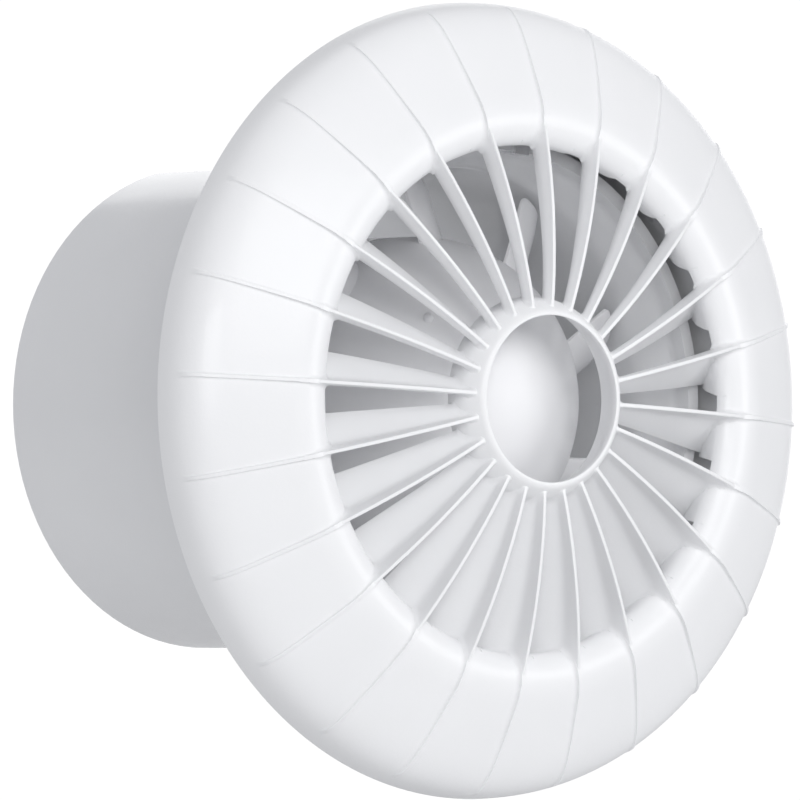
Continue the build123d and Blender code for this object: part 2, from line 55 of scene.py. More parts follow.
RING_FRONT_Y, RING_REAR_Y, RING_LIP_R = -26.3, -18.6, 16.4
RING_FILLET_R = 0.8
HOOKS, HOOK_CLOCK, HOOK_HALF_ANGLE = 3, 7.0, 2.6

# Impeller: hub dome, blades, and the small pip on the hub.
HUB_R, HUB_NOSE, HUB_Y, HUB_WALL, HUB_REAR_Y = 33.0, 31.3, 16.3, 1.8, 20.5
BLADES, BLADE_CLOCK, BLADE_TIP_R, BLADE_THICKNESS = 9, -10.2, 45.4, 1.6
BLADE_REAR_CORNER, BLADE_FRONT_CORNER = 5.0, 1.5  # radii of the corners at the tip
PIP_R, PIP_CLOCK = 22.3, -44.5  # distance from the axis, and place round it
HUB_RIBS = 6


# ---------------------------------------------------------------- mesh helpers

def cubic_through(points, start, end, count):
    """Points along a smooth curve through the given points, with given end directions."""
    p = np.array(points, float)
    t = np.concatenate([[0], np.cumsum(np.linalg.norm(np.diff(p, axis=0), axis=1))])
    h = np.diff(t)
    n = len(p)
    a = np.zeros((n, n))
    b = np.zeros((n, 2))
    a[0, 0] = a[-1, -1] = 1
    b[0] = np.array(start) / np.linalg.norm(start)
    b[-1] = np.array(end) / np.linalg.norm(end)
    for i in range(1, n - 1):
        a[i, i - 1:i + 2] = h[i], 2 * (h[i - 1] + h[i]), h[i - 1]
        b[i] = 3 * (h[i] * (p[i] - p[i - 1]) / h[i - 1] + h[i - 1] * (p[i + 1] - p[i]) / h[i])
    m = np.linalg.solve(a, b)
    out = []
    for s in np.linspace(0, t[-1], count):
        i = min(int(np.searchsorted(t, s, side="right")) - 1, n - 2)
        u = (s - t[i]) / h[i]
        out.append((2 * u**3 - 3 * u**2 + 1) * p[i] + (u**3 - 2 * u**2 + u) * h[i] * m[i]
                   + (-2 * u**3 + 3 * u**2) * p[i + 1] + (u**3 - u**2) * h[i] * m[i + 1])
    return np.array(out)


def polar(r, clock, y):
    """Points at a distance r from the axis."""
    a = np.radians(clock)
    return np.stack([r * np.sin(a), y + 0 * a, r * np.cos(a)], -1)


def turn(points, clock):
    """Turn points about the axis, clockwise seen from the front."""
    a = radians(clock)
    x, y, z = points[..., 0], points[..., 1], points[..., 2]
    return np.stack([x * cos(a) + z * sin(a), y, z * cos(a) - x * sin(a)], -1)


class Shell:
    """Collects vertices and faces of one piece."""

    def __init__(self):
        self.verts = []
        self.faces = []
        self.count = 0

    def add(self, verts, faces):
        verts = np.asarray(verts, float).reshape(-1, 3)
        self.verts.append(verts)
        self.faces += [tuple(int(i) + self.count for i in f) for f in faces]
        self.count += len(verts)

    def grid(self, points, wrap_rows=False, wrap_columns=False, cap_start=False, cap_end=False):
        """Add a sheet of quads through rows x columns x 3 points. The first and last row may be capped."""
        rows, columns = points.shape[:2]
        faces = []
        for i in range(rows if wrap_rows else rows - 1):
            for j in range(columns if wrap_columns else columns - 1):
                a, b = i * columns + j, i * columns + (j + 1) % columns
                c, d = ((i + 1) % rows) * columns + (j + 1) % columns, ((i + 1) % rows) * columns + j
                faces.append((a, b, c, d))
        if cap_start:
            faces.append(tuple(reversed(range(columns))))
        if cap_end:
            faces.append(tuple(range((rows - 1) * columns, rows * columns)))
        self.add(points, faces)

    def build(self, name, body, material, replaces, smooth_angle):
        mesh = bpy.data.meshes.new(name)
        mesh.from_pydata((np.concatenate(self.verts) / 1000).tolist(), [], self.faces)
        mesh.update()
        obj = bpy.data.objects.new(name, mesh)
        bpy.context.scene.collection.objects.link(obj)
        tidy(obj, smooth_angle)
        mesh.materials.append(material)
        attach(obj, body)
        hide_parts(*replaces)


def tidy(obj, smooth_angle):
    """Outward normals, smooth shading with sharp edges kept."""
    bm = bmesh.new()
    bm.from_mesh(obj.data)
    bmesh.ops.remove_doubles(bm, verts=bm.verts, dist=1e-7)
    bmesh.ops.recalc_face_normals(bm, faces=bm.faces)
    limit = radians(smooth_angle)
    for edge in bm.edges:
        edge.smooth = len(edge.link_faces) != 2 or edge.calc_face_angle(0) < limit
    for face in bm.faces:
        face.smooth = True
    bm.to_mesh(obj.data)
    bm.free()


def smoothstep(low, high, x):
    """Smooth change from 0 at low to 1 at high. Either of them may be the larger."""
    t = np.clip((x - low) / (high - low), 0, 1)
    return t * t * (3 - 2 * t)


def rounded_profile(points, radii, steps=4):
    """Closed (r, y) outline with rounded corners."""
    p = [np.array(q, float) for q in points]
    out = []
    for i, radius in enumerate(radii):
        here, before, after = p[i], p[i - 1], p[(i + 1) % len(p)]
        if radius == 0:
            out.append(here)
            continue
        u = (before - here) / np.linalg.norm(before - here)
        v = (after - here) / np.linalg.norm(after - here)
        half = np.arccos(np.clip(u @ v, -1, 1)) / 2
        reach = min(radius / np.tan(half), 0.49 * np.linalg.norm(before - here),
                    0.49 * np.linalg.norm(after - here))
        for k in range(steps + 1):
            t = k / steps
            a, b = here + u * reach, here + v * reach
            out.append((1 - t)**2 * a + 2 * t * (1 - t) * here + t**2 * b)
    return np.array(out)


def ring_points(profile, clocks):
    """A (r, y) profile turned about the axis, with one row for each clock."""
    return np.array([polar(profile[:, 0], np.full(len(profile), c), profile[:, 1]) for c in clocks])


def both_faces(shares):
    """Section outline as (share, side): back along one face, then forward along the other."""
    return [(s, 1) for s in shares] + [(s, -1) for s in shares[::-1]]


# ---------------------------------------------------------------- materials

def node_material(name):
    """A material with a principled shader and nothing linked to it yet."""
    material = bpy.data.materials.new(name)
    material.use_nodes = True
    tree = material.node_tree
    tree.nodes.clear()
    output = tree.nodes.new("ShaderNodeOutputMaterial")
    shader = tree.nodes.new("ShaderNodeBsdfPrincipled")
    tree.links.new(shader.outputs["BSDF"], output.inputs["Surface"])
    place = tree.nodes.new("ShaderNodeTexCoord")
    return material, tree, shader, place


def noise(tree, place, scale, detail=3.0, roughness=0.5, stretch=None):
    """Noise fixed to the object. stretch is a scale for each axis."""
    texture = tree.nodes.new("ShaderNodeTexNoise")
    texture.inputs["Scale"].default_value = scale
    texture.inputs["Detail"].default_value = detail
    texture.inputs["Roughness"].default_value = roughness
    source = place.outputs["Object"]
    if stretch:
        mapping = tree.nodes.new("ShaderNodeMapping")
        mapping.inputs["Scale"].default_value = stretch
        tree.links.new(source, mapping.inputs["Vector"])
        source = mapping.outputs["Vector"]
    tree.links.new(source, texture.inputs["Vector"])
    return texture.outputs["Fac"]


def ramp(tree, source, stops):
    """Colours for a grey source, from two stops as (place, colour)."""
    node = tree.nodes.new("ShaderNodeValToRGB")
    for element, (place, color) in zip(node.color_ramp.elements, stops):
        element.position = place
        element.color = (*color, 1)
    tree.links.new(source, node.inputs["Fac"])
    return node.outputs["Color"]


def grey(value):
    return (value, value, value)


def gloss(tree, shader, source, roughness, change):
    """Uneven roughness, from roughness - change to roughness + change."""
    rough = ramp(tree, source, [(0.3, grey(roughness - change)), (0.7, grey(roughness + change))])
    tree.links.new(rough, shader.inputs["Roughness"])


def bump(tree, shader, height, strength, distance, before=None):
    """Surface relief, on top of the relief before it if there is any."""
    node = tree.nodes.new("ShaderNodeBump")
    node.inputs["Strength"].default_value = strength
    node.inputs["Distance"].default_value = distance
    tree.links.new(height, node.inputs["Height"])
    if before is not None:
        tree.links.new(before, node.inputs["Normal"])
    tree.links.new(node.outputs["Normal"], shader.inputs["Normal"])
    return node.outputs["Normal"]


def moulded_plastic(name, low, high, roughness, grain=0.25, grain_size=1500.0, coat=0.0):
    """Satin moulded plastic: faint cloudy tone, a fine spark-eroded grain, uneven gloss."""
    material, tree, shader, place = node_material(name)
    tone = ramp(tree, noise(tree, place, 28.0, 4.0), [(0.35, low), (0.65, high)])
    tree.links.new(tone, shader.inputs["Base Color"])
    gloss(tree, shader, noise(tree, place, 60.0, 3.0), roughness, 0.035)
    flow = bump(tree, shader, noise(tree, place, 22.0, 2.0), 0.10, 0.0006)
    bump(tree, shader, noise(tree, place, grain_size, 2.0), grain, 0.00006, flow)
    shader.inputs["IOR"].default_value = 1.49
    shader.inputs["Coat Weight"].default_value = coat
    return material


def metal(name, low, high, roughness, stretch=(1, 1, 1), grain=900.0, strength=0.3, distance=0.00003):
    """Machined or rolled metal with fine marks that run across the stretched direction."""
    material, tree, shader, place = node_material(name)
    tone = ramp(tree, noise(tree, place, 240.0, 4.0, stretch=stretch), [(0.3, low), (0.7, high)])
    tree.links.new(tone, shader.inputs["Base Color"])
    gloss(tree, shader, noise(tree, place, 320.0, 3.0, stretch=stretch), roughness, roughness * 0.25)
    bump(tree, shader, noise(tree, place, grain, 2.0, stretch=stretch), strength, distance)
    shader.inputs["Metallic"].default_value = 1.0
    return material


BAND_SPACING = 0.31416  # metres between the wave texture's bands, at a scale of 1


def banded(name, low, high, roughness, metallic, period, direction, distance):
    """Material with regular fine lines, such as stacked sheets or turns of wire."""
    material, tree, shader, place = node_material(name)
    wave = tree.nodes.new("ShaderNodeTexWave")
    wave.wave_type = "BANDS"
    wave.bands_direction = direction
    wave.inputs["Scale"].default_value = BAND_SPACING / period
    wave.inputs["Distortion"].default_value = 0.25
    wave.inputs["Detail"].default_value = 1.0
    tree.links.new(place.outputs["Object"], wave.inputs["Vector"])
    tone = ramp(tree, wave.outputs["Fac"], [(0.1, low), (0.6, high)])
    tree.links.new(tone, shader.inputs["Base Color"])
    gloss(tree, shader, noise(tree, place, 200.0), roughness, roughness * 0.2)
    bump(tree, shader, wave.outputs["Fac"], 0.8, distance)
    shader.inputs["Metallic"].default_value = metallic
    return material


def soft_skin(name, low, high, roughness, grain, distance):
    """Rubber or cable insulation: matt, slightly mottled."""
    material, tree, shader, place = node_material(name)
    tone = ramp(tree, noise(tree, place, 150.0, 5.0), [(0.3, low), (0.7, high)])
    tree.links.new(tone, shader.inputs["Base Color"])
    gloss(tree, shader, noise(tree, place, 90.0), roughness, 0.06)
    bump(tree, shader, noise(tree, place, grain, 3.0), 0.35, distance)
    return material


MATERIALS = {
    "cover_white": moulded_plastic(
        "cover_plastic", (0.930, 0.934, 0.945), (0.950, 0.954, 0.965), 0.34, coat=0.08),
    "housing_white": moulded_plastic(
        "housing_plastic", (0.910, 0.915, 0.928), (0.930, 0.935, 0.948), 0.16, coat=0.08),
    "impeller_white": moulded_plastic(
        "impeller_plastic", (0.925, 0.926, 0.942), (0.945, 0.946, 0.960), 0.38),
    "clamp_white": moulded_plastic(
        "clamp_plastic", (0.80, 0.80, 0.79), (0.84, 0.84, 0.83), 0.48, 0.4),
    "terminal_plastic": moulded_plastic(
        "terminal_plastic", (0.70, 0.69, 0.62), (0.76, 0.75, 0.68), 0.45, 0.4),
    "former_plastic": moulded_plastic(
        "former_plastic", (0.68, 0.65, 0.52), (0.74, 0.71, 0.58), 0.5, 0.4),
    "cage_plastic": moulded_plastic(
        "cage_plastic", (0.26, 0.18, 0.10), (0.34, 0.24, 0.14), 0.45, 0.4),
    "rubber_grey": soft_skin(
        "grommet_rubber", (0.16, 0.16, 0.165), (0.21, 0.21, 0.215), 0.7, 1800.0, 0.00005),
    "lead_brown": soft_skin(
        "lead_brown", (0.10, 0.042, 0.018), (0.14, 0.06, 0.028), 0.45, 1200.0, 0.00003),
    "lead_blue": soft_skin(
        "lead_blue", (0.015, 0.06, 0.28), (0.025, 0.09, 0.36), 0.45, 1200.0, 0.00003),
    "spring_steel": metal("spring_steel", (0.80, 0.80, 0.81), (0.88, 0.88, 0.89), 0.22, (1, 6, 1)),
    "screw_zinc": metal("screw_zinc", (0.52, 0.53, 0.56), (0.62, 0.63, 0.66), 0.30),
    "terminal_brass": metal("terminal_brass", (0.58, 0.42, 0.16), (0.70, 0.52, 0.22), 0.28, (1, 1, 6)),
    "motor_steel": banded(
        "lamination_steel", (0.10, 0.10, 0.11), (0.30, 0.30, 0.32), 0.42, 1.0, 0.0005, "Y", 0.00012),
    "copper": metal("shading_copper", (0.58, 0.27, 0.15), (0.72, 0.36, 0.20), 0.30, (1, 5, 1)),
    "copper_enamel": banded(
        "winding_wire", (0.16, 0.04, 0.012), (0.50, 0.18, 0.06), 0.32, 0.75, 0.0003, "Z", 0.00015),
    "cast_alloy": metal(
        "cast_alloy", (0.48, 0.49, 0.50), (0.58, 0.59, 0.60), 0.42,
        grain=500.0, strength=0.5, distance=0.0001),
    "bearing_steel": metal("bearing_steel", (0.60, 0.60, 0.62), (0.66, 0.66, 0.68), 0.14),
    "shaft_steel": metal("shaft_steel", (0.50, 0.50, 0.52), (0.58, 0.58, 0.60), 0.22, (1, 8, 1)),
    "fuse_ceramic": soft_skin(
        "fuse_case", (0.66, 0.64, 0.58), (0.74, 0.72, 0.66), 0.55, 1500.0, 0.00004),
}

for row in frame["record"]["subparts"]:
    node = frame["nodes"][row["node"]]
    node.data.materials.clear()
    node.data.materials.append(MATERIALS[row["material_slot"]])
    for polygon in node.data.polygons:
        polygon.material_index = 0


# ---------------------------------------------------------------- front cover and its louvre vanes

# Outer line of the dome as (r, y), from the rim over the crest to the throat's rear edge.
DOME = cubic_through([(COVER_R, COVER_REAR_Y), (77.9, -7.4), (70.6, -13.7), (61.7, -18.1), (55.0, -20.1),
                      (51.4, -18.9), (THROAT_R, THROAT_REAR_Y)], (-0.05, -1), (-0.1, 1), 90)
CREST = int(np.argmin(DOME[:, 1]))

# Rear line of the short walls behind the throat as (r, y).
TAB_LINE = cubic_through([(THROAT_R + 0.02, THROAT_REAR_Y), (50.45, -14.6), (51.2, -12.3), (52.55, -9.95)],
                         (-0.1, 1), (0.6, 1), 12)


def normals_of(curve):
    """Unit normals on the outer side of the dome curve, which runs from the rim to the throat."""
    along = np.gradient(curve, axis=0)
    along /= np.linalg.norm(along, axis=1)[:, None]
    return np.stack([-along[:, 1], along[:, 0]], -1)


def gap_to_dome(r, y):
    """Distance of points from the dome's outer line."""
    points = np.stack([r, y], -1)
    a, b = DOME[:-1], DOME[1:]
    best = np.full(points.shape[:-1], 1e9)
    for p, q in zip(a, b):
        t = np.clip(((points - p) @ (q - p)) / ((q - p) @ (q - p)), 0, 1)
        best = np.minimum(best, np.linalg.norm(points - p - t[..., None] * (q - p), axis=-1))
    return best


def fillet(gap, radius):
    """Height of a concave round corner at a distance from the wall it leads to."""
    g = np.clip(gap, 0, radius)
    return radius - np.sqrt(np.maximum(radius**2 - (radius - g)**2, 0))


def fillet_radius(r):
    """Radius of the soft corner between vane and dome: larger in the throat than on the dome."""
    return 0.45 + 0.55 * smoothstep(57.5, 53.0, r)


def ridge_half(r):
    """Half the width of a ridge's flat top."""
    return 0.28 + 0.14 * smoothstep(60.0, 54.0, r)


def ridge_side(beside, radius):
    """Highest a point beside the ridge's flat top may be. The top itself has no limit."""
    top_edge, no_limit = 0.06, 9.0
    return np.where(beside <= top_edge, no_limit, fillet(beside, radius))


def add_dome(shell):
    """The dome's wall with its rounded throat edge and a thin raised ridge in line with each vane."""
    normal = normals_of(DOME)
    inner = (DOME - normal * COVER_WALL)[::-3]
    edge_mid = (DOME[-1] + inner[0]) / 2 + np.array([0.0, 0.45])
    edge_round = np.array([0, 0.12])
    edge = [edge_mid * 0.5 + DOME[-1] * 0.5 + edge_round, edge_mid,
            edge_mid * 0.5 + inner[0] * 0.5 + edge_round]
    profile = np.concatenate([DOME, edge, inner])
    push = np.zeros((len(profile), 2))
    push[:len(DOME)] = normal
    r_here = profile[:, 0]

    # The ridges are highest beside the throat and sink into the dome before they reach its rim.
    height = 0.42 + 0.33 * smoothstep(72, 56, DOME[:, 0])
    rise = np.zeros(len(profile))
    rise[:len(DOME)] = height * smoothstep(-6.0, -9.0, DOME[:, 1])

    # Distances from a ridge's middle in mm, then shares of the way left to the middle between two ridges.
    near = [0, .14, .24, .30, .36, .42, .48, .56, .66, .8, 1.0, 1.3, 1.7, 2.2, 2.9]
    far = [0.2, 0.42, 0.66, 0.9]
    half = r_here * radians(180.0 / VANES)
    offsets = [np.full(len(r_here), u) for u in near] + [near[-1] + (half - near[-1]) * f for f in far]
    columns = [(-1, offset) for offset in offsets[:0:-1]] + [(1, offset) for offset in offsets]
    rows = []
    for k in range(VANES):
        for side, offset in columns:
            lift = np.minimum(rise, ridge_side(offset - ridge_half(r_here), fillet_radius(r_here)))
            clock = VANE_CLOCK + k * 360.0 / VANES + side * np.degrees(offset / r_here)
            p = profile + push * lift[:, None]
            rows.append(polar(p[:, 0], clock, p[:, 1]))
    shell.grid(np.array(rows), wrap_rows=True, wrap_columns=True)


# Vane sections: distance from the axis, front edge's y, depth, and how far the rear edge is swept sideways.
VANE_STATIONS = np.array([
    (17.2, -25.2, 5.6, 2.3), (28.0, -25.3, 7.6, 3.7), (38.0, -24.2, 9.4, 5.0),
    (46.0, -23.0, 11.1, 6.0), (54.0, -20.9, 11.8, 6.9), (57.0, -20.1, 12.0, 7.2)])
VANE_FITS = [np.polyfit(VANE_STATIONS[:, 0], VANE_STATIONS[:, i], 3) for i in (1, 2, 3)]

# The bend in a vane's section: how much of the full turn is reached at each share of the way back.
PATH_SHARE = np.linspace(0, 1, 61)
PATH_TURN = smoothstep(0.18, 0.46, PATH_SHARE)
FULL_TURN = 1.5  # the rear part's angle, over the angle from the front edge to the rear edge

# Centre ring as (y, r): its bore and its outer side.
RING_BORE = np.array([(-26.3, 17.4), (-23.4, 18.6), (-18.6, 19.55)])
RING_SIDE = np.array([(-26.3, 16.9), (-25.0, 18.4), (-22.8, 19.75), (-18.6, 20.2)])


def vane_path(full):
    """Sweep, depth and direction along a section: straight, then a bend, then straight at an angle."""
    angle = full * PATH_TURN
    step = np.diff(PATH_SHARE)
    across = np.concatenate([[0], np.cumsum((np.sin(angle)[1:] + np.sin(angle)[:-1]) / 2 * step)])
    along = np.concatenate([[0], np.cumsum((np.cos(angle)[1:] + np.cos(angle)[:-1]) / 2 * step)])
    return across, along, angle


def vane_centre(z, share):
    """Place of the vane's middle surface, and its direction, at height z and share of the depth."""
    front_y, depth, sweep = (np.polyval(fit, z) for fit in VANE_FITS)
    full = np.arctan2(sweep, depth) * FULL_TURN
    across, along, angle = vane_path(full)
    scale = depth / along[-1]
    x = np.interp(share, PATH_SHARE, across) * scale
    y = front_y + np.interp(share, PATH_SHARE, along) * scale
    return x, y, np.interp(share, PATH_SHARE, angle)


def dome_gap(r, y):
    """How far a point is from the dome and its throat edge, or 0 inside the material."""
    if y > THROAT_REAR_Y:
        return hypot(max(THROAT_R - r, 0), y - THROAT_REAR_Y)
    if r >= DOME[CREST, 0]:
        inside = y >= np.interp(r, DOME[CREST::-1, 0], DOME[CREST::-1, 1])
    else:
        inside = y >= DOME[CREST, 1] and r >= np.interp(y, DOME[CREST:, 1], DOME[CREST:, 0])
    return 0.0 if inside else float(gap_to_dome(np.array([r]), np.array([y]))[0])


def tab_r(y):
    """Distance of the short walls' rear line from the axis."""
    return np.interp(y, TAB_LINE[:, 1], TAB_LINE[:, 0])


def vane_ends(share):
    """Heights where the vane's line at a share of the depth starts in the ring and ends in the dome."""
    outer_z, into_dome, into_tab = 54.0, 1.3, 0.6
    x, y, _ = vane_centre(outer_z, share)
    if y < THROAT_REAR_Y:
        limit = max(np.interp(y, DOME[CREST:, 1], DOME[CREST:, 0]), THROAT_R) + into_dome
    else:
        limit = tab_r(y) + into_tab
    z1 = sqrt(limit**2 - x**2)
    inner_z = 19.0
    x, y, _ = vane_centre(inner_z, share)
    z0 = sqrt(np.interp(y, RING_BORE[:, 0], RING_BORE[:, 1])**2 - x**2)
    return z0, z1


def vane_half_thickness(share, side, r, y):
    """Half the vane's thickness, with the soft corners where it meets the dome, a short wall or the ring."""
    front_half, gain, gain_depth = 0.36, 0.16, 2.5
    edge_rounding, edge_width = 0.12, 0.05
    from_edge = min(share, 1 - share) * VANE_DEPTH
    half = front_half + gain * smoothstep(0.0, gain_depth, share * VANE_DEPTH)
    half -= edge_rounding * (from_edge < edge_width)
    gap = dome_gap(r, y)
    if y > THROAT_REAR_Y and side > 0:
        gap = max(tab_r(y) - r, 0)
    grow = float(fillet(gap, fillet_radius(r)))
    ring_gap = r - np.interp(y, RING_SIDE[:, 0], RING_SIDE[:, 1])
    grow = max(grow, float(fillet(max(ring_gap, 0), RING_FILLET_R)))
    fade = 0.8  # the corners fade out over this distance from the front and rear edges
    return half + grow * min(1.0, share * VANE_DEPTH / fade) * min(1.0, (1 - share) * VANE_DEPTH / fade)


def vane_points():
    """One vane at the top, as rows of section points."""
    shares = np.array([0, .010, .03, .06, .1, .16, .24, .32, .40, .48,
                       .56, .64, .72, .80, .87, .93, .97, .99, 1.0])
    spans = np.concatenate([[0, .01, .02, .035, .05, .07], np.linspace(.1, .82, 15),
                            [.85, .875, .895, .91, .925, .94, .952, .964, .975, .985, .993, 1.0]])
    ends = {share: vane_ends(share) for share in shares}
    rows = []
    for span in spans:
        row = []
        for share, side in both_faces(shares):
            z0, z1 = ends[share]
            z = z0 + (z1 - z0) * span
            x, y, a = vane_centre(z, share)
            half = vane_half_thickness(share, side, hypot(x, z), y)
            row.append((x + side * half * cos(a), y - side * half * sin(a), z))
        rows.append(row)
    return np.array(rows)


def tab_points():
    """The short wall between the throat and one vane's outer end, on the vane's clockwise side."""
    hidden = np.array([DOME[-6] + (0.05, 0), DOME[-3] + (0.03, 0)])
    back = np.array([(52.75, -9.6), (53.3, -9.6), (53.8, -9.95),
                     (52.5, -12.6), (51.8, -15.2), (51.6, -17.6)])
    profile = np.concatenate([hidden, TAB_LINE, back])
    r, y = profile[:, 0], profile[:, 1]
    middle_r, middle_y, slope = 52.0, -13.5, 0.3
    vane_line = np.array([vane_centre(middle_r, share)[:2] for share in np.linspace(0, 1, 15)])
    start = np.degrees(np.interp(y, vane_line[:, 1], vane_line[:, 0]) / middle_r) - 0.2
    rear_y, height, flare = -9.9, 7.1, 1.8
    end = TAB_ANGLE + flare * np.clip((rear_y - y) / height, 0, 1)
    rows = []
    for share in (0, .12, .25, .4, .55, .7, .82, .9, .96, .99, 1.0):
        shrink = 0.25 * (share == 1.0)
        centre_r = r.mean() + (y - middle_y) * slope
        rows.append(polar(r + (centre_r - r) * shrink, start + (end - start) * share, y))
    return np.array(rows)


def add_sector(shell, profile, clock_0, clock_1, steps):
    """A closed (r, y) profile turned from one clock to another."""
    points = ring_points(profile, np.linspace(clock_0, clock_1, steps))
    shell.grid(points, wrap_columns=True, cap_start=True, cap_end=True)


def add_full_turn(shell, profile, step):
    """A closed (r, y) profile turned all the way round, in steps of a few degrees."""
    shell.grid(ring_points(profile, np.arange(0, 360, step)), wrap_rows=True, wrap_columns=True)


def add_ring(shell):
    """The open centre ring: a rounded front lip that flares towards the rear."""
    outer = cubic_through([(RING_LIP_R + 0.45, RING_FRONT_Y + 0.02), (18.4, -25.0), (19.75, -22.8),
                           (20.2, RING_REAR_Y)], (1, 0), (0, 1), 22)
    inner = cubic_through([(18.9, RING_REAR_Y), (17.3, -23.4), (RING_LIP_R + 0.1, RING_FRONT_Y + 0.35)],
                          (-0.3, -1), (0.0, -1), 18)
    rear_middle = [(19.55, RING_REAR_Y)]
    lip = [(RING_LIP_R + 0.14, RING_FRONT_Y + 0.12)]
    add_full_turn(shell, np.concatenate([outer, rear_middle, inner, lip]), 1.5)


def add_hooks(shell):
    """The hooks inside the dome that grip the clips on the housing."""
    hook = rounded_profile([(53.2, -18.6), (54.6, -18.6), (54.6, -4.6), (53.2, -4.6)], [0.1, 0.1, 0.4, 0.4])
    for k in range(HOOKS):
        clock = HOOK_CLOCK + k * 360 / HOOKS
        add_sector(shell, hook, clock - HOOK_HALF_ANGLE, clock + HOOK_HALF_ANGLE, 5)


cover = Shell()
add_dome(cover)
vane = vane_points()
tab = tab_points()
for k in range(VANES):
    clock = VANE_CLOCK + k * 360 / VANES
    cover.grid(turn(vane, clock), wrap_columns=True, cap_start=True, cap_end=True)
    cover.grid(turn(tab, clock), wrap_columns=True, cap_start=True, cap_end=True)
add_ring(cover)
add_hooks(cover)
cover.build("front_cover_moulding", "cover", MATERIALS["cover_white"],
            ("front_cover", "inlet_grille"), 40)


# ---------------------------------------------------------------- impeller

def ellipse_profile(r, nose, rear_y, steps):
    """(r, y) line of the hub's dome, from the axis to the rim and straight back to rear_y."""
    a = np.linspace(0, pi / 2, steps)
    return np.concatenate([np.stack([r * np.sin(a), HUB_Y - nose * np.cos(a)], -1), [(r, rear_y)]])


# Blade sections: distance from the axis, leading edge's y, its clock, chord, and stagger in degrees.
BLADE_STATIONS = np.array([
    (31.0, 8.2, 0.0, 11.6, 60.0), (38.5, 7.0, -3.4, 11.4, 58.0), (46.5, 5.6, -6.0, 11.2, 56.0)])


def corner_inset(r, radius):
    """How far a rounded corner at the blade's tip draws the edge in, at a distance r from the axis."""
    into = max(0.0, (r - (BLADE_TIP_R - radius)) / radius)
    return (1 - sqrt(max(0.0, 1 - into**2))) * radius


def add_blade(shell, clock):
    """A thin cambered blade with rounded corners at its tip."""
    shares = np.array([0, .015, .04, .09, .16, .25, .35, .45, .55, .65, .75, .84, .91, .96, .985, 1.0])
    radii = np.concatenate([[31.0, 32.0, 32.6, 33.2, 34.0, 35.0], np.linspace(36.5, 44.2, 9),
                            [44.6, 44.9, 45.15, 45.3, BLADE_TIP_R]])
    camber, edge_share = 0.10, 0.35
    rows = []
    for r in radii:
        y0, lead, chord, stagger = (
            np.interp(r, BLADE_STATIONS[:, 0], BLADE_STATIONS[:, i]) for i in range(1, 5))
        st = radians(stagger)
        across, normal = (sin(st), cos(st)), (cos(st), -sin(st))
        last = 1 - corner_inset(r, BLADE_REAR_CORNER) / chord
        first = corner_inset(r, BLADE_FRONT_CORNER) / chord
        edge = min(1.0, (BLADE_TIP_R - r) / 0.5 + 0.25)  # thinner in the last part of a millimetre
        row = []
        for share, side in both_faces(shares):
            s = first + (last - first) * share
            bulge = sqrt(max(0.0, 4 * share * (1 - share)))
            thick = BLADE_THICKNESS / 2 * (edge_share + (1 - edge_share) * bulge) * edge
            reach = camber * chord * 4 * s * (1 - s) + side * thick
            arc = r * radians(lead) + across[0] * chord * s + normal[0] * reach
            y = y0 + across[1] * chord * s + normal[1] * reach
            row.append((r * sin(arc / r), y, r * cos(arc / r)))
        rows.append(row)
    shell.grid(turn(np.array(rows), clock), wrap_columns=True, cap_start=True, cap_end=True)


def add_hub(shell):
    """The hub's domed shell, open at the rear."""
    outside = ellipse_profile(HUB_R, HUB_NOSE, HUB_REAR_Y - 0.4, 56)
    inside = ellipse_profile(HUB_R - HUB_WALL, HUB_NOSE - HUB_WALL, HUB_REAR_Y - 0.3, 40)
    outside[0, 0] = inside[0, 0] = 0.001
    rim = [(HUB_R - 0.3, HUB_REAR_Y), (HUB_R - HUB_WALL + 0.3, HUB_REAR_Y)]
    add_full_turn(shell, np.concatenate([outside, rim, inside[::-1]]), 2.5)


def add_boss_and_ribs(shell):
    """The boss on the shaft and the ribs that join it to the hub's dome."""
    boss_front, rib_rear, rib_half = -12.2, 2.5, 0.7
    boss = rounded_profile([(2.55, -12.4), (5.0, -12.4), (5.0, 4.5), (2.55, 4.5)], [0, 0, 0.4, 0.3])
    add_full_turn(shell, boss, 7.5)
    corners = ((-rib_half, boss_front), (rib_half, boss_front), (rib_half, rib_rear), (-rib_half, rib_rear))
    heights = (4.6, 10.0, 15.0, 19.0)
    rib = np.array([[(x, y, z) for x, y in corners] for z in heights])
    for i, z in enumerate(heights):
        dome_y = HUB_Y - (HUB_NOSE - 1.0) * sqrt(max(0.0, 1 - (z / (HUB_R - 1.0))**2))
        rib[i, :2, 1] = max(boss_front, dome_y)
    for k in range(HUB_RIBS):
        shell.grid(turn(rib, k * 360 / HUB_RIBS), wrap_columns=True, cap_start=True, cap_end=True)


def add_pip(shell):
    """The small round pip that stands on the hub's dome."""
    profile = ((0.001, 1.15), (0.45, 1.08), (0.8, 0.85), (1.0, 0.5), (1.05, 0.0), (1.05, -1.0), (0.001, -1.0))
    turns = np.arange(0, 2 * pi, pi / 12)
    pip = np.array([[(q * cos(a), -h, q * sin(a)) for q, h in profile] for a in turns])
    pip_y = HUB_Y - HUB_NOSE * sqrt(1 - (PIP_R / HUB_R)**2)
    tilt = atan2(PIP_R / HUB_R**2, (HUB_Y - pip_y) / HUB_NOSE**2)
    x, y, z = pip[..., 0], pip[..., 1], pip[..., 2]
    pip = np.stack([x, y * cos(tilt) + z * sin(tilt) + pip_y, z * cos(tilt) - y * sin(tilt) + PIP_R], -1)
    shell.grid(turn(pip, PIP_CLOCK), wrap_rows=True, wrap_columns=True)


fan = Shell()
add_hub(fan)
for k in range(BLADES):
    add_blade(fan, BLADE_CLOCK + k * 360 / BLADES)
add_boss_and_ribs(fan)
add_pip(fan)
fan.build("impeller_moulding", "rotor", MATERIALS["impeller_white"], ("impeller",), 35)


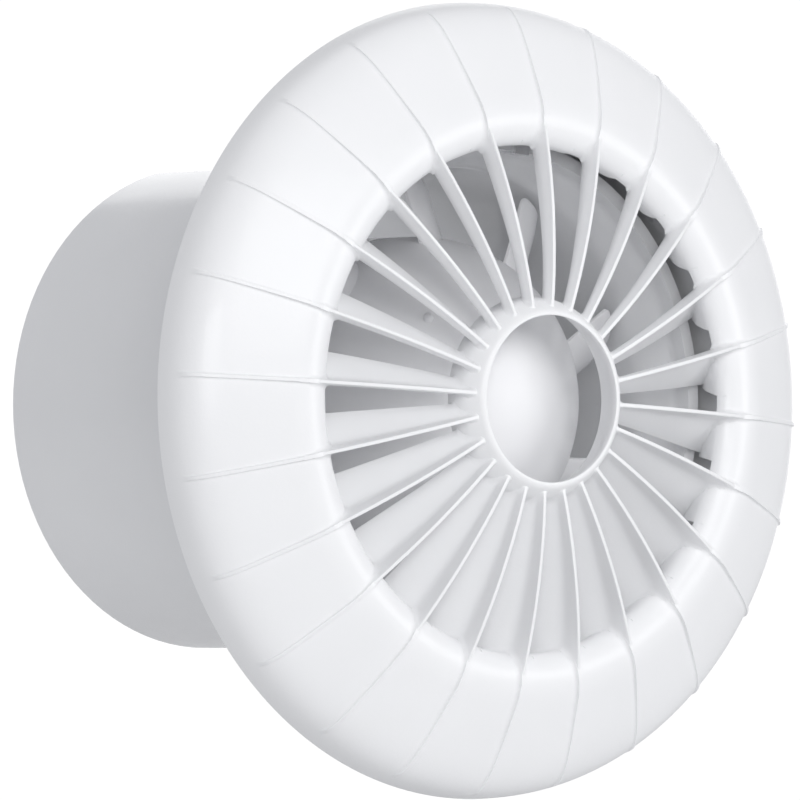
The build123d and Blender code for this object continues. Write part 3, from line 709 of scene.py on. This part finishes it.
# ---------------------------------------------------------------- camera, light and floor

def place_camera():
    """A long lens, left of the fan and slightly below its axis."""
    azimuth, elevation, roll = radians(-38.75), radians(-1.31), radians(0.21)
    back = Vector((sin(azimuth) * cos(elevation), -cos(azimuth) * cos(elevation), sin(elevation)))
    right = Vector((cos(azimuth), sin(azimuth), 0))
    up = back.cross(right)
    turned_right = right * cos(roll) + up * sin(roll)
    turned_up = up * cos(roll) - right * sin(roll)
    data = bpy.data.cameras.new("camera")
    data.lens = 581.2
    data.sensor_width = 36.0
    data.shift_x = -0.000125
    data.shift_y = 0.003125
    data.clip_start = 0.05
    data.clip_end = 50.0
    camera = bpy.data.objects.new("camera", data)
    target, distance = Vector((0, 0.0216, 0)), 2.58
    spot = target + back * distance
    camera.matrix_world = Matrix((
        (turned_right.x, turned_up.x, back.x, spot.x),
        (turned_right.y, turned_up.y, back.y, spot.y),
        (turned_right.z, turned_up.z, back.z, spot.z),
        (0, 0, 0, 1)))
    bpy.context.scene.collection.objects.link(camera)
    bpy.context.scene.camera = camera


def soft_light(name, spot, size, power):
    """A rectangular area light that faces the fan."""
    data = bpy.data.lights.new(name, "AREA")
    data.shape = "RECTANGLE"
    data.size, data.size_y = size
    data.energy = power
    light = bpy.data.objects.new(name, data)
    light.location = spot
    light.rotation_euler = (-Vector(spot)).to_track_quat("-Z", "Y").to_euler()
    bpy.context.scene.collection.objects.link(light)


def make_world():
    """White where the camera sees it, and a weaker, slightly cool fill for all other rays."""
    world = bpy.data.worlds.new("studio")
    bpy.context.scene.world = world
    world.use_nodes = True
    tree = world.node_tree
    tree.nodes.clear()
    output = tree.nodes.new("ShaderNodeOutputWorld")
    mix = tree.nodes.new("ShaderNodeMixShader")
    seen = tree.nodes.new("ShaderNodeBackground")
    fill = tree.nodes.new("ShaderNodeBackground")
    path = tree.nodes.new("ShaderNodeLightPath")
    seen.inputs["Color"].default_value = (1, 1, 1, 1)
    seen.inputs["Strength"].default_value = 1.05
    fill.inputs["Color"].default_value = (0.955, 0.965, 1.0, 1)
    fill.inputs["Strength"].default_value = 0.44
    tree.links.new(path.outputs["Is Camera Ray"], mix.inputs["Fac"])
    tree.links.new(fill.outputs["Background"], mix.inputs[1])
    tree.links.new(seen.outputs["Background"], mix.inputs[2])
    tree.links.new(mix.outputs["Shader"], output.inputs["Surface"])


def make_floor():
    half, level = 0.9, -0.0925
    mesh = bpy.data.meshes.new("floor")
    corners = [(x * half, y * half, level) for x, y in ((-1, -1), (1, -1), (1, 1), (-1, 1))]
    mesh.from_pydata(corners, [], [(0, 1, 2, 3)])
    floor = bpy.data.objects.new("floor", mesh)
    bpy.context.scene.collection.objects.link(floor)
    material, tree, shader, place = node_material("floor_paper")
    tone = ramp(tree, noise(tree, place, 6.0), [(0.3, grey(0.86)), (0.7, grey(0.88))])
    tree.links.new(tone, shader.inputs["Base Color"])
    shader.inputs["Roughness"].default_value = 0.9
    mesh.materials.append(material)


place_camera()
make_world()
make_floor()
soft_light("key", (-0.2, -2.3, 0.9), (1.4, 1.2), 16)
soft_light("front_left", (-1.35, -1.9, 0.35), (0.7, 0.7), 9)
soft_light("front_right", (1.5, -1.9, 0.1), (1.0, 1.2), 11)
soft_light("top", (-0.2, 0.2, 2.2), (1.4, 1.4), 3)
soft_light("backdrop", (0.95, 1.5, 0.15), (2.4, 2.0), 15)
bpy.context.scene.view_settings.view_transform = "Standard"
